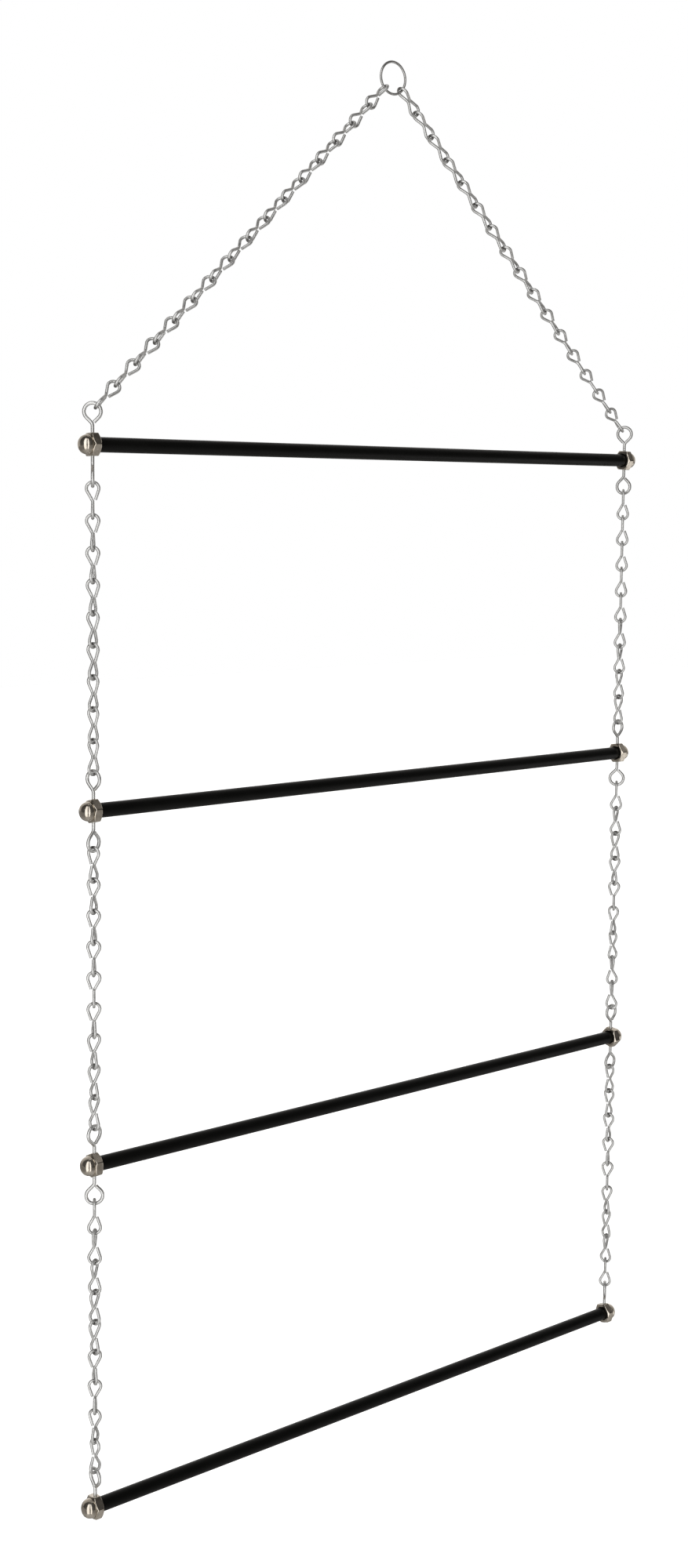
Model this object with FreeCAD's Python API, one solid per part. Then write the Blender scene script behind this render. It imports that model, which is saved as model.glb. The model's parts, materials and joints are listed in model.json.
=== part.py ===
"""Hanging blanket rack: four painted bars hung one below another on jack chain, under one ring.

Millimetres, +Z up. The origin is the point inside the top of the ring where a hook bears.
+X runs along the bars, to the right seen from the front, and +Y runs to the back.
"""
import FreeCAD
import Part

import math
import os

from FreeCAD import Placement, Rotation, Vector

# Bars
bar_count = 4
bar_diameter = 12.7
bar_length = 645.0  # tip to tip, with the ends inside the nuts
bar_tip_chamfer = 1.2

# Cap nuts
nut_across_flats = 19.05
nut_hex_height = 7.4
nut_length = 16.0
nut_dome_radius = 9.1
nut_bearing_diameter = 18.2  # the flat circle that the corner chamfer leaves on each hex face
nut_chamfer_angle = 30.0
nut_thread_depth = 10.0  # how far a bar's end goes in
nut_bore_spare = 0.8  # from the bar's tip to the bottom of the full bore
nut_bore_cone = 1.8
thread_clearance = 0.1

# Eye wires, each through a cross hole in a nut and the bar's end
eye_wire_diameter = 3.1
eye_inside_diameter = 10.9
eye_height = 27.0  # from the bar's axis to the middle of an eye
eye_neck_angle = 45.0  # between the stem and each side of the neck
eye_neck_bend = 1.8  # length of stem and of neck that the bend between them takes up
eye_end_gap = 0.2  # from the wire's cut end to the neck
eye_from_nut_face = 3.5  # from the nut's face at the bar to the wire's axis
hole_clearance = 0.1
pin_end_inset = 0.6  # how far a wire with no lower eye ends inside the nut's flat

# Jack chain, each link one wire bent to two loops at right angles
link_wire_diameter = 2.67
link_pitch = 26.7  # from one hooked contact to the next
link_width = 12.9
link_waist = 0.9  # from the middle of a link to where its strand bends into a loop
link_waist_offset = 0.9  # from the link's own axis to the strand at that bend
link_waist_bend = 1.0  # length of wire on each side of a bend at the waist
link_end_height = 0.3  # from the middle of a link to the middle of a cut end
link_end_gap = 0.15  # between a cut end and the strand beside it
hanger_links = 16
tier_links = 9

# Hanging ring
ring_outside_diameter = 31.0
ring_wire_diameter = 2.3

# Between wires that hook into each other
hook_gap = 0.3
settling_steps = 60  # rounds in which the top bar sinks to where its chains are straight

# How the flexible pieces hang, in degrees about their own chain or stem.
# A chain turns evenly from its top to its middle and on to its foot.
hanger_turn = {"left": (90.0, 120.0, 151.0), "right": (90.0, 120.0, 151.0)}
tier_turn = (
    {"left": (147.0, 116.0, 104.0), "right": (44.0, 44.0, 0.0)},
    {"left": (-66.0, -31.0, 14.0), "right": (44.0, -46.0, -146.0)},
    {"left": (59.0, 5.0, -80.0), "right": (-91.0, -46.0, 44.0)},
)
hanger_eye_turn = -38.0
upper_eye_turn = (
    {"left": hanger_eye_turn, "right": hanger_eye_turn + 180.0},
    {"left": -74.0, "right": 4.0},
    {"left": 14.0, "right": 4.0},
    {"left": -88.0, "right": 44.0},
)
lower_eye_turn = (
    {"left": 59.0, "right": -26.0},
    {"left": 19.0, "right": -46.0},
    {"left": -31.0, "right": 4.0},
)
# Turn of each hexagon about its bar, 0 with a flat on top
nut_turn = (
    {"left": 2.0, "right": 4.0},
    {"left": 14.0, "right": -8.0},
    {"left": 26.0, "right": 12.0},
    {"left": 9.0, "right": -18.0},
)

# Worked out from the sizes above
sides = ("left", "right")
toward = {"left": -1.0, "right": 1.0}
up = Vector(0, 0, 1)
back = Vector(0, 1, 0)
nut_face_x = bar_length / 2 - nut_thread_depth
eye_x = nut_face_x + eye_from_nut_face
eye_radius = (eye_inside_diameter + eye_wire_diameter) / 2
eye_contact = (eye_inside_diameter - hook_gap) / 2
ring_radius = (ring_outside_diameter - ring_wire_diameter) / 2
ring_contact = ring_radius - (ring_wire_diameter + hook_gap) / 2
ring_centre = Vector(0, 0, -(ring_radius - ring_wire_diameter / 2))
bar_spacing = 2 * (eye_height + eye_contact) + tier_links * link_pitch


def level(turn):
    """The level direction at a turn in degrees about +Z from +X."""
    return Vector(math.cos(math.radians(turn)), math.sin(math.radians(turn)), 0)


def bend(before, corner, after, reach):
    """A tangent arc that rounds a corner, taking up reach on each side, as (start, edge, end)."""
    inward = (corner - before).normalize()
    outward = (after - corner).normalize()
    half_turn = inward.getAngle(outward) / 2
    radius = reach / math.tan(half_turn)
    inside = (outward - inward).normalize()
    start = corner - inward * reach
    end = corner + outward * reach
    middle = corner + inside * (radius / math.cos(half_turn) - radius)
    return start, Part.Arc(start, middle, end).toShape(), end


def bent_wire(edges, diameter):
    """The solid of a round wire whose middle follows edges that run on from each other."""
    first = edges[0]
    start = first.valueAt(first.FirstParameter)
    heading = first.tangentAt(first.FirstParameter)
    section = Part.Wire([Part.Circle(start, heading, diameter / 2).toShape()])
    return Part.Wire(edges).makePipeShell([section], True, False)


def link_loop(across, out):
    """One loop of a link: its cut end and strand, the tangent points of both, and the crown."""
    radius = (link_width - link_wire_diameter) / 2
    centre = (link_pitch + link_wire_diameter + hook_gap) / 2 - radius

    def tangent(offset, height):
        """Where a straight side from a point beside the axis meets the loop's round part."""
        rise = centre - height
        angle = math.acos(radius / math.hypot(offset, rise)) - math.atan2(rise, offset)
        return across * (radius * math.cos(angle)), out * (centre + radius * math.sin(angle))

    strand = across * link_waist_offset + out * link_waist
    strand_side, strand_height = tangent(link_waist_offset, link_waist)
    strand_at_end = link_waist_offset * (link_waist + link_end_height) / (2 * link_waist)
    end_offset = link_wire_diameter + link_end_gap - strand_at_end
    end = out * link_end_height - across * end_offset
    end_side, end_height = tangent(end_offset, link_end_height)
    return (end, strand), (end_height - end_side, strand_height + strand_side), out * (centre + radius)


def jack_link():
    """One link about its middle: its upper loop lies in XZ and its lower loop in YZ."""
    (end, foot), (from_end, to_foot), crown = link_loop(Vector(1, 0, 0), up)
    (last, other), (to_last, from_other), bottom = link_loop(back, -up)
    first_start, first_bend, first_end = bend(to_foot, foot, other, link_waist_bend)
    second_start, second_bend, second_end = bend(foot, other, from_other, link_waist_bend)
    edges = [
        Part.makeLine(end, from_end),
        Part.Arc(from_end, crown, to_foot).toShape(),
        Part.makeLine(to_foot, first_start),
        first_bend,
        Part.makeLine(first_end, second_start),
        second_bend,
        Part.makeLine(second_end, from_other),
        Part.Arc(from_other, bottom, to_last).toShape(),
        Part.makeLine(to_last, last),
    ]
    return bent_wire(edges, link_wire_diameter)


def eye_edges(across, out):
    """An eye's wire from its cut end round to the stem, and where the stem then starts."""
    half = math.radians(eye_neck_angle)
    centre = out * eye_height
    low = centre - out * (eye_radius * math.sin(half))
    free_side = low + across * (eye_radius * math.cos(half))
    neck_side = low - across * (eye_radius * math.cos(half))
    apex = centre - out * (eye_radius / math.sin(half))
    wire_radius = eye_wire_diameter / 2
    short = (wire_radius * (1 + math.cos(2 * half)) + eye_end_gap) / math.sin(2 * half)
    cut_end = apex + (free_side - apex).normalize() * short
    bend_start, neck_bend, stem_start = bend(neck_side, apex, Vector(0, 0, 0), eye_neck_bend)
    edges = [
        Part.makeLine(cut_end, free_side),
        Part.Arc(free_side, centre + out * eye_radius, neck_side).toShape(),
        Part.makeLine(neck_side, bend_start),
        neck_bend,
    ]
    return edges, stem_start


def eye_wire(upper_turn, lower_turn=None):
    """A wire with an eye above the bar and, where a turn is given, an eye below it."""
    edges, stem_start = eye_edges(level(upper_turn), up)
    if lower_turn is None:
        stem_end = Vector(0, 0, pin_end_inset - nut_across_flats / 2)
        return bent_wire(edges + [Part.makeLine(stem_start, stem_end)], eye_wire_diameter)
    below, stem_end = eye_edges(level(lower_turn), -up)
    edges.append(Part.makeLine(stem_start, stem_end))
    for edge in reversed(below):
        turned = edge.Curve.copy()
        turned.reverse()
        edges.append(turned.toShape(-edge.LastParameter, -edge.FirstParameter))
    return bent_wire(edges, eye_wire_diameter)


def revolved(profile):
    """A solid turned about X from points of distance along X and radius."""
    points = [Vector(x, 0, r) for x, r in profile]
    face = Part.Face(Part.makePolygon(points + points[:1]))
    return face.revolve(Vector(0, 0, 0), Vector(1, 0, 0), 360)


def cap_nut(turn):
    """A low domed nut that opens at x = 0 and has its dome towards +X, cross-drilled along Z."""
    corner = nut_across_flats / 2 / math.cos(math.radians(30))
    start = math.radians(60 + turn)
    corners = [
        Vector(0, corner * math.cos(start + n * math.pi / 3), corner * math.sin(start + n * math.pi / 3))
        for n in range(6)
    ]
    prism = Part.Face(Part.makePolygon(corners + corners[:1])).extrude(Vector(nut_hex_height, 0, 0))
    bearing = nut_bearing_diameter / 2
    chamfer = (corner - bearing) * math.tan(math.radians(nut_chamfer_angle))
    turned = revolved(
        [
            (0, 0),
            (0, bearing),
            (chamfer, corner),
            (nut_hex_height - chamfer, corner),
            (nut_hex_height, bearing),
            (nut_hex_height, 0),
        ]
    )
    dome_centre = nut_length - nut_dome_radius
    spring_angle = math.degrees(math.asin((nut_hex_height - dome_centre) / nut_dome_radius))
    dome = Part.makeSphere(
        nut_dome_radius, Vector(dome_centre, 0, 0), Vector(1, 0, 0), spring_angle, 90, 360
    )
    bore = bar_diameter / 2 + thread_clearance
    full_bore = nut_thread_depth + nut_bore_spare
    cavity = revolved(
        [
            (0, 0),
            (0, bore),
            (full_bore, bore),
            (full_bore + nut_bore_cone, bore / 2),
            (full_bore + nut_bore_cone, 0),
        ]
    )
    return prism.common(turned).fuse(dome).removeSplitter().cut(cavity).cut(cross_hole(eye_from_nut_face))


def cross_hole(x):
    """The hole that an eye wire passes through, up and down at x along the bar."""
    radius = eye_wire_diameter / 2 + hole_clearance
    return Part.makeCylinder(radius, 2 * nut_across_flats, Vector(x, 0, -nut_across_flats))


def bar():
    """A bar along X about its middle, with chamfered tips and a cross hole near each."""
    tip = bar_length / 2
    radius = bar_diameter / 2
    small = radius - bar_tip_chamfer
    rod = revolved(
        [
            (-tip, 0),
            (-tip, small),
            (bar_tip_chamfer - tip, radius),
            (tip - bar_tip_chamfer, radius),
            (tip, small),
            (tip, 0),
        ]
    )
    return rod.cut(cross_hole(-eye_x)).cut(cross_hole(eye_x))


def hanger_ends():
    """Where the slanted chains hook in: {side: (at the ring, at the eye)} and the eyes' height.

    The eyes sink until a chain of its own length reaches from the ring to them.
    """
    length = hanger_links * link_pitch
    eye_z = ring_centre.z - length / 2
    tongue = level(hanger_eye_turn)
    for _ in range(settling_steps):
        ends = {}
        for side in sides:
            eye = Vector(toward[side] * eye_x, 0, eye_z)
            pull = (ring_centre - eye).normalize()
            hooked = eye + (tongue * pull.dot(tongue) + up * pull.z).normalize() * eye_radius
            at_eye = hooked - pull * ((eye_wire_diameter + hook_gap) / 2)
            reach = at_eye - ring_centre
            reach.y = 0
            ends[side] = (ring_centre + reach.normalize() * ring_contact, at_eye)
        top, foot = ends["left"]
        eye_z -= length - top.distanceToPoint(foot)
    return ends, eye_z


def chain_turn(turns, n, count):
    """The turn of link n of a chain that turns evenly from top to middle and middle to foot."""
    top, middle, foot = turns
    share = 2 * n / (count - 1)
    return top + (middle - top) * share if share < 1 else middle + (foot - middle) * (share - 1)


def placed_link(link, top, foot, n, count, turns):
    """Link n of a chain of count links from top to foot, in its place."""
    along = (top - foot).normalize()
    first = back.cross(along).normalize()
    second = along.cross(first)
    turn = math.radians(chain_turn(turns, n, count))
    across = first * math.cos(turn) + second * math.sin(turn)
    middle = top + (foot - top) * ((n + 0.5) / count)
    piece = link.copy()
    piece.Placement = Placement(middle, Rotation(across, along.cross(across), along, "ZXY"))
    return piece


def moved(shape, place, turn=0.0):
    """A copy of a shape turned in degrees about Z and moved to its place."""
    piece = shape.copy()
    piece.Placement = Placement(place, Rotation(up, turn)).multiply(piece.Placement)
    return piece


def write(name, *solids):
    """Write one node of one or more separate solids."""
    shape = solids[0] if len(solids) == 1 else Part.makeCompound(solids)
    shape.exportStep(f"parts/{name}.step")


def build():
    os.makedirs("parts", exist_ok=True)
    link = jack_link()
    ends, hanger_eye_z = hanger_ends()
    top_bar_z = hanger_eye_z - eye_height

    ring = Part.makeTorus(ring_radius, ring_wire_diameter / 2, ring_centre, back)
    write("hanging_ring", ring)

    for n in range(hanger_links):
        pair = [placed_link(link, *ends[s], n, hanger_links, hanger_turn[s]) for s in sides]
        write(f"hanger_link_{n + 1:02d}", *pair)

    for b in range(bar_count):
        axis = Vector(0, 0, top_bar_z - b * bar_spacing)
        has_lower_eyes = b < bar_count - 1
        wires = []
        nuts = []
        for side in sides:
            lower = lower_eye_turn[b][side] if has_lower_eyes else None
            wire = eye_wire(upper_eye_turn[b][side], lower)
            wires.append(moved(wire, axis + Vector(toward[side] * eye_x, 0, 0)))
            facing = 0 if side == "right" else 180
            nut = cap_nut(nut_turn[b][side])
            nuts.append(moved(nut, axis + Vector(toward[side] * nut_face_x, 0, 0), facing))
        write(f"bar_{b + 1}", moved(bar(), axis))
        write(f"cap_nuts_{b + 1}", *nuts)
        write(f"eye_wires_{b + 1}", *wires)
        if not has_lower_eyes:
            continue
        drop = up * (eye_height + eye_contact)
        for n in range(tier_links):
            pair = []
            for side in sides:
                top = axis + Vector(toward[side] * eye_x, 0, 0) - drop
                foot = top - up * (tier_links * link_pitch)
                pair.append(placed_link(link, top, foot, n, tier_links, tier_turn[b][side]))
            write(f"tier_{b + 1}_link_{n + 1}", *pair)


build()
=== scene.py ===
"""Looks of a hanging blanket rack: four painted bars on jack chain under one ring.

Everything is in metres in the rack's own frame: +Z up, +X along the bars, +Y to the back, and
the origin inside the top of the ring, where a hook bears.
"""
import json
import math

import bmesh
import bpy
from bpy.props import FloatProperty, FloatVectorProperty, PointerProperty
from mathutils import Matrix, Vector


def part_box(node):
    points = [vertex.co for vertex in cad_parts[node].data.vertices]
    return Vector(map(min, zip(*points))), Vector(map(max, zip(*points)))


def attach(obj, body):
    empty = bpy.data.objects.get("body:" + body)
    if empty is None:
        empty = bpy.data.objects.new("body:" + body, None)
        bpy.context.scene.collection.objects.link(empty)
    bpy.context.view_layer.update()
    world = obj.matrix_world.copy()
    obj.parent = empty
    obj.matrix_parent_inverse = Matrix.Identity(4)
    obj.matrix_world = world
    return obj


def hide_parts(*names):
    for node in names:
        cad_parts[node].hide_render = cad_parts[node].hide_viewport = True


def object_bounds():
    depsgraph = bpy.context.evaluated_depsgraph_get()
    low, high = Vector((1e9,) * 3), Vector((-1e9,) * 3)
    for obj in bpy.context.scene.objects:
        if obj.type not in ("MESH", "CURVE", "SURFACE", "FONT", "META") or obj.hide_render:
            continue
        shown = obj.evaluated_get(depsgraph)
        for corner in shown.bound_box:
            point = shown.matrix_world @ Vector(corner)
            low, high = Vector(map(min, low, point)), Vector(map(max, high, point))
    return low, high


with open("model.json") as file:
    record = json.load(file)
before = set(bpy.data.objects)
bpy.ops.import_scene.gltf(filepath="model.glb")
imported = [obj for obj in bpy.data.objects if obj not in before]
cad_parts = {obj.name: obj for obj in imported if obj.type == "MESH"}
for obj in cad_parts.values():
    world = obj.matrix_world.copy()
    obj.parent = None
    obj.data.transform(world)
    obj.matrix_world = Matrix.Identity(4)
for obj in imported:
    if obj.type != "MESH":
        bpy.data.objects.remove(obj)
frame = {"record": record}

bl_info = {
    "name": "Hanging Blanket Rack",
    "version": (1, 0, 0),
    "blender": (4, 5, 0),
    "location": "View3D > Sidebar > Blanket Rack",
    "description": "Builds the pieces, finishes and studio of a hanging blanket rack",
    "category": "Add Mesh",
}

cad_low, cad_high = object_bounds()

SIDES = ("left", "right")
TOWARD = {"left": -1.0, "right": 1.0}
UP = Vector((0, 0, 1))
BACK = Vector((0, 1, 0))
ACROSS = Vector((1, 0, 0))

BAR_COUNT = 4
HANGER_LINKS = 16
TIER_LINKS = 9

# How the chains and eyes hang, in degrees about their own chain or stem.
# A chain turns evenly from its top to its middle and on to its foot.
HANGER_TURN = {"left": (90.0, 120.0, 151.0), "right": (90.0, 120.0, 151.0)}
TIER_TURN = (
    {"left": (147.0, 116.0, 104.0), "right": (44.0, 44.0, 0.0)},
    {"left": (-66.0, -31.0, 14.0), "right": (44.0, -46.0, -146.0)},
    {"left": (59.0, 5.0, -80.0), "right": (-91.0, -46.0, 44.0)},
)
UPPER_EYE_TURN = (
    {"left": -38.0, "right": 142.0},
    {"left": -74.0, "right": 4.0},
    {"left": 14.0, "right": 4.0},
    {"left": -88.0, "right": 44.0},
)
LOWER_EYE_TURN = (
    {"left": 59.0, "right": -26.0},
    {"left": 19.0, "right": -46.0},
    {"left": -31.0, "right": 4.0},
)
# Turn of each hexagon about its bar, 0 with a flat on top
NUT_TURN = (
    {"left": 2.0, "right": 4.0},
    {"left": 14.0, "right": -8.0},
    {"left": 26.0, "right": 12.0},
    {"left": 9.0, "right": -18.0},
)


def length(name, description, default):
    """A property that holds a size in metres."""
    return FloatProperty(name=name, description=description, default=default, min=0.0, unit="LENGTH")


def colour(name, description, default):
    """A property that holds a colour."""
    return FloatVectorProperty(
        name=name, description=description, default=default, size=3, min=0.0, max=1.0, subtype="COLOR"
    )


class BlanketRackSizes(bpy.types.PropertyGroup):
    """Sizes of the rack's pieces."""

    bar_diameter: length("Bar diameter", "Outside of a painted bar", 0.0127)
    bar_length: length("Bar length", "From tip to tip, with the ends inside the nuts", 0.645)
    bar_tip_chamfer: length("Bar tip chamfer", "Chamfer at the end of a bar", 0.0012)
    nut_across_flats: length("Nut across flats", "From flat to flat of a hexagon", 0.01905)
    nut_hex_height: length("Nut hexagon height", "Length of the hexagon along the bar", 0.0074)
    nut_length: length("Nut length", "From the nut's open face to the top of its dome", 0.016)
    nut_dome_radius: length("Nut dome radius", "Radius of the polished dome at its foot", 0.0084)
    nut_bearing_diameter: length("Nut bearing diameter", "Flat circle inside the corner chamfer", 0.0182)
    nut_thread_depth: length("Nut thread depth", "How far a bar's end goes into its nut", 0.010)
    nut_bore_depth: length("Nut bore depth", "Depth of the blind hole in a nut", 0.0108)
    nut_edge_radius: length("Nut edge radius", "Rounding of the hexagon's edges", 0.00035)
    eye_wire_diameter: length("Eye wire diameter", "Wire of the eyes", 0.0031)
    eye_inside_diameter: length("Eye inside diameter", "Hole of an eye", 0.0109)
    eye_height: length("Eye height", "From a bar's axis to the middle of an eye", 0.027)
    eye_neck_bend: length("Eye neck bend", "Stem and neck that the bend takes up", 0.0018)
    eye_end_gap: length("Eye end gap", "From the wire's cut end to the neck", 0.0002)
    eye_from_nut_face: length("Eye from nut face", "From a nut's open face to the wire", 0.0035)
    pin_end_inset: length("Pin end inset", "How far a wire with one eye ends inside the nut", 0.0006)
    hole_clearance: length("Hole clearance", "Room between a wire and its hole", 0.0001)
    link_wire_diameter: length("Link wire diameter", "Wire of the jack chain", 0.00267)
    link_pitch: length("Link pitch", "From one hooked contact to the next", 0.0267)
    link_width: length("Link width", "Outside width of a loop", 0.0129)
    link_waist: length("Link waist", "From a link's middle to where its strand bends", 0.0009)
    link_waist_offset: length("Link waist offset", "From a link's axis to that bend", 0.0009)
    link_waist_bend: length("Link waist bend", "Wire on each side of a bend at the waist", 0.0010)
    link_end_height: length("Link end height", "From a link's middle to its cut end", 0.0003)
    link_end_gap: length("Link end gap", "Between a cut end and the strand", 0.00015)
    ring_outside_diameter: length("Ring outside diameter", "Outside of the hanging ring", 0.031)
    ring_wire_diameter: length("Ring wire diameter", "Wire of the hanging ring", 0.0023)
    hook_gap: length("Hook gap", "Between wires that hook into each other", 0.0003)
    floor_drop: length("Floor drop", "From the rack's lowest point to the floor", 1.60)


class BlanketRackFinishes(bpy.types.PropertyGroup):
    """Colours of the rack's finishes."""

    zinc_light: colour("Zinc, light", "Bright zinc plate on the chain", (0.78, 0.78, 0.77))
    zinc_dark: colour("Zinc, dark", "Cloudier zinc plate", (0.63, 0.63, 0.62))
    # Painted shade: a dark colour the chain takes on near its crowns, where the links hook into each
    # other and shade each other
    zinc_crown_shade: colour("Zinc, painted crown shade", "Painted shade on the crowns, where links hook into each other", (0.20, 0.195, 0.19))
    ring_light: colour("Ring, light", "Bare steel of the ring", (0.66, 0.65, 0.64))
    ring_dark: colour("Ring, dark", "Dull steel of the ring", (0.44, 0.44, 0.43))
    nickel_light: colour("Nickel, light", "Polished nickel plate", (0.68, 0.62, 0.54))
    nickel_dark: colour("Nickel, dark", "Hazy nickel plate", (0.50, 0.45, 0.38))
    paint: colour("Bar paint", "Satin black paint", (0.004, 0.004, 0.0036))
    paint_dust: colour("Bar dust", "Fine dust on the paint", (0.03, 0.03, 0.028))
    floor: colour("Floor", "Pale studio floor", (0.90, 0.90, 0.89))


# Where the chains hook in


def body_of(node):
    """The body that a node belongs to."""
    bodies = frame["record"]["behaviour"]["bodies"]
    return next(body for body, nodes in bodies.items() if node in nodes)


def bar_axis_height(b):
    """Height of a bar's axis."""
    low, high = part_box(f"bar_{b + 1}")
    return (low.z + high.z) / 2


def level(turn):
    """The level direction at a turn in degrees about +Z from +X."""
    return Vector((math.cos(math.radians(turn)), math.sin(math.radians(turn)), 0))


def eye_x(sizes):
    """Distance of the eye wires from the middle of a bar."""
    return sizes.bar_length / 2 - sizes.nut_thread_depth + sizes.eye_from_nut_face


def eye_radius(sizes):
    """Radius of an eye at the middle of its wire."""
    return (sizes.eye_inside_diameter + sizes.eye_wire_diameter) / 2


def hanger_ends(sizes):
    """{side: (contact at the ring, contact at the eye)} of the slanted chains."""
    ring_low, ring_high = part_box("hanging_ring")
    ring_centre = (ring_low + ring_high) / 2
    ring_radius = (sizes.ring_outside_diameter - sizes.ring_wire_diameter) / 2
    ring_contact = ring_radius - (sizes.ring_wire_diameter + sizes.hook_gap) / 2
    tongue = level(UPPER_EYE_TURN[0]["left"])
    ends = {}
    for side in SIDES:
        eye = ACROSS * (TOWARD[side] * eye_x(sizes)) + UP * (bar_axis_height(0) + sizes.eye_height)
        pull = (ring_centre - eye).normalized()
        hooked = eye + (tongue * pull.dot(tongue) + UP * pull.z).normalized() * eye_radius(sizes)
        at_eye = hooked - pull * ((sizes.eye_wire_diameter + sizes.hook_gap) / 2)
        reach = at_eye - ring_centre
        reach.y = 0
        ends[side] = (ring_centre + reach.normalized() * ring_contact, at_eye)
    return ends


def tier_ends(sizes, t, side):
    """The contacts at the top and foot of one straight chain."""
    eye_contact = (sizes.eye_inside_diameter - sizes.hook_gap) / 2
    drop = sizes.eye_height + eye_contact
    out = ACROSS * (TOWARD[side] * eye_x(sizes))
    return out + UP * (bar_axis_height(t) - drop), out + UP * (bar_axis_height(t + 1) + drop)


def chain_turn(turns, n, count):
    """The turn of link n of a chain that turns evenly from top to middle and middle to foot."""
    top, middle, foot = turns
    share = 2 * n / (count - 1)
    return top + (middle - top) * share if share < 1 else middle + (foot - middle) * (share - 1)


def link_place(top, foot, n, count, turns):
    """The matrix that puts a link in its place along a chain from top to foot."""
    along = (top - foot).normalized()
    first = BACK.cross(along).normalized()
    second = along.cross(first)
    turn = math.radians(chain_turn(turns, n, count))
    across = first * math.cos(turn) + second * math.sin(turn)
    turned = Matrix((across, along.cross(across), along)).transposed().to_4x4()
    return Matrix.Translation(top + (foot - top) * ((n + 0.5) / count)) @ turned


# Lines that wires follow

LINE_STEPS = 4
BEND_STEPS = 8
LOOP_STEPS = 40
EYE_SIDE_ANGLE = math.radians(45)  # of an eye's straight sides to its stem


def run_points(start, end, steps):
    """Points from start up to end, without end."""
    return [start.lerp(end, n / steps) for n in range(steps)]


def arc_points(centre, start, normal, sweep, steps):
    """Points of an arc from start about centre, without its end."""
    return [
        centre + Matrix.Rotation(sweep * n / steps, 3, normal) @ (start - centre) for n in range(steps)
    ]


def bend_points(before, corner, after, reach):
    """A tangent arc that rounds a corner, and the points where it starts and ends."""
    inward = (corner - before).normalized()
    outward = (after - corner).normalized()
    turn = inward.angle(outward)
    normal = inward.cross(outward).normalized()
    start = corner - inward * reach
    centre = start + normal.cross(inward) * (reach / math.tan(turn / 2))
    end = corner + outward * reach
    return start, arc_points(centre, start, normal, turn, BEND_STEPS), end


def link_loop(sizes, across, out):
    """One loop of a link: its cut end and strand, the tangent points of both, its centre and sweep."""
    radius = (sizes.link_width - sizes.link_wire_diameter) / 2
    centre = (sizes.link_pitch + sizes.link_wire_diameter + sizes.hook_gap) / 2 - radius

    def tangent_angle(offset, height):
        """Where a straight side from a point beside the axis meets the loop's round part."""
        rise = centre - height
        return math.acos(radius / math.hypot(offset, rise)) - math.atan2(rise, offset)

    def on_loop(angle):
        return across * (radius * math.cos(angle)) + out * (centre + radius * math.sin(angle))

    waist, offset = sizes.link_waist, sizes.link_waist_offset
    strand = across * offset + out * waist
    strand_angle = tangent_angle(offset, waist)
    strand_at_end = offset * (waist + sizes.link_end_height) / (2 * waist)
    end_offset = sizes.link_wire_diameter + sizes.link_end_gap - strand_at_end
    end = out * sizes.link_end_height - across * end_offset
    end_angle = math.pi - tangent_angle(end_offset, sizes.link_end_height)
    tangents = (on_loop(end_angle), on_loop(strand_angle))
    return (end, strand), tangents, out * centre, end_angle - strand_angle


def link_points(sizes):
    """The middle line of one link: its upper loop lies in XZ and its lower loop in YZ."""
    (end, foot), (from_end, to_foot), crown, upper_sweep = link_loop(sizes, ACROSS, UP)
    (last, other), (to_last, from_other), bottom, lower_sweep = link_loop(sizes, BACK, -UP)
    first_start, first_bend, first_end = bend_points(to_foot, foot, other, sizes.link_waist_bend)
    second_start, second_bend, second_end = bend_points(foot, other, from_other, sizes.link_waist_bend)
    points = run_points(end, from_end, LINE_STEPS)
    points += arc_points(crown, from_end, BACK, upper_sweep, LOOP_STEPS)
    points += run_points(to_foot, first_start, LINE_STEPS)
    points += first_bend
    points += run_points(first_end, second_start, 1)
    points += second_bend
    points += run_points(second_end, from_other, LINE_STEPS)
    points += arc_points(bottom, from_other, -ACROSS, lower_sweep, LOOP_STEPS)
    points += run_points(to_last, last, LINE_STEPS)
    return points + [last]


def hook_places(sizes):
    """How far along a link's wire its middle lies, and how far from there its two crowns."""
    points = link_points(sizes)
    steps = [(after - before).length for before, after in zip(points, points[1:])]
    crown = max(range(len(points)), key=lambda n: points[n].z)
    middle = sum(steps) / 2
    return middle, middle - sum(steps[:crown])


def eye_points(sizes, across, out):
    """The middle line of one eye from its cut end to the stem, and where the stem starts."""
    half = EYE_SIDE_ANGLE
    radius = eye_radius(sizes)
    centre = out * sizes.eye_height
    low = centre - out * (radius * math.sin(half))
    free_side = low + across * (radius * math.cos(half))
    neck_side = low - across * (radius * math.cos(half))
    apex = centre - out * (radius / math.sin(half))
    wire_radius = sizes.eye_wire_diameter / 2
    short = (wire_radius * (1 + math.cos(2 * half)) + sizes.eye_end_gap) / math.sin(2 * half)
    cut_end = apex + (free_side - apex).normalized() * short
    bend_start, neck_bend, stem_start = bend_points(neck_side, apex, Vector(), sizes.eye_neck_bend)
    points = run_points(cut_end, free_side, LINE_STEPS)
    points += arc_points(centre, free_side, out.cross(across) * -1, math.pi + 2 * half, LOOP_STEPS)
    points += run_points(neck_side, bend_start, LINE_STEPS)
    return points + neck_bend, stem_start


def eye_wire_points(sizes, upper_turn, lower_turn):
    """The middle line of an eye wire about its bar's axis, with or without a lower eye."""
    points, stem_start = eye_points(sizes, level(upper_turn), UP)
    if lower_turn is None:
        stem_end = UP * (sizes.pin_end_inset - sizes.nut_across_flats / 2)
        return points + run_points(stem_start, stem_end, LINE_STEPS) + [stem_end]
    below, stem_end = eye_points(sizes, level(lower_turn), -UP)
    points += run_points(stem_start, stem_end, LINE_STEPS) + [stem_end]
    return points + below[::-1]


# Meshes

WIRE_SIDES = 28
END_CHAMFER = 0.12  # of the wire's radius, where a cut end is rounded


def around(count):
    """Angles evenly round a circle."""
    return [2 * math.pi * n / count for n in range(count)]


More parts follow.
